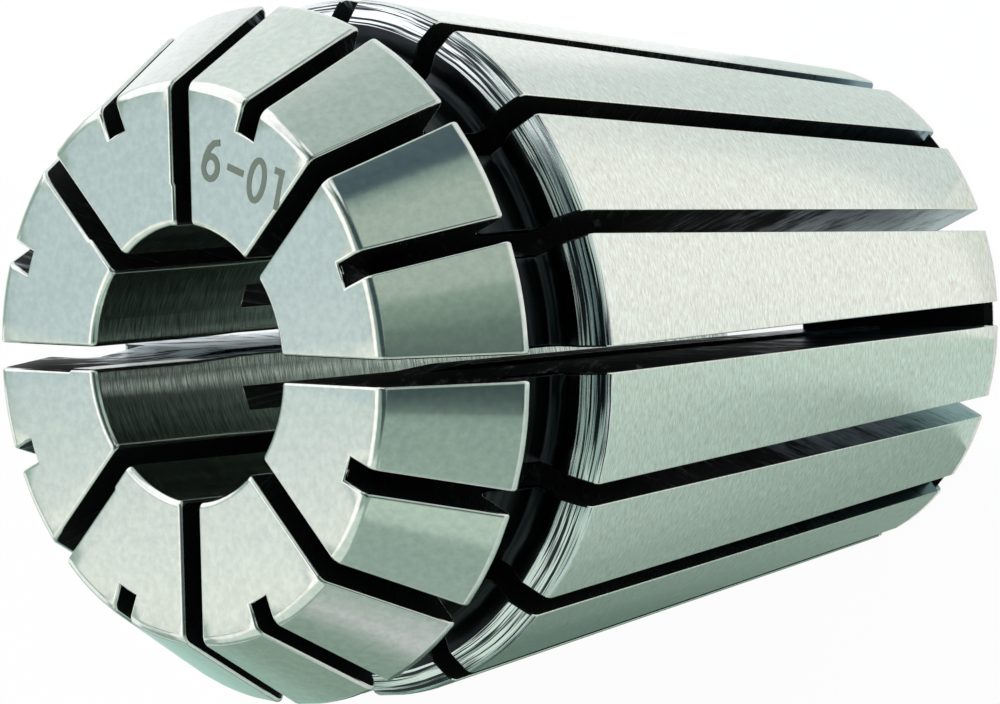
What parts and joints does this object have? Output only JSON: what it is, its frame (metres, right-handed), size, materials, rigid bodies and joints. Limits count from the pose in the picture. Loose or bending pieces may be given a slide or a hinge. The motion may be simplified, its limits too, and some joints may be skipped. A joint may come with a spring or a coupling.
{
  "type": "er collet",
  "caption": "Slotted spring collet with a straight bore, a long clamping taper and a coned nose with a pull-out groove.",
  "frame": {"origin": "centre of the bore at the rear face, the small end of the taper", "axes": "+Z along the bore axis, towards the nose; +X through the middle of a slot that is open at the nose"},
  "size_m": [0.026, 0.026, 0.034],
  "materials": {
    "spring_steel": "ground taper and bore, satin nose"
  },
  "bodies": {
    "root": {"collet": "spring_steel"}
  },
  "joints": []
}
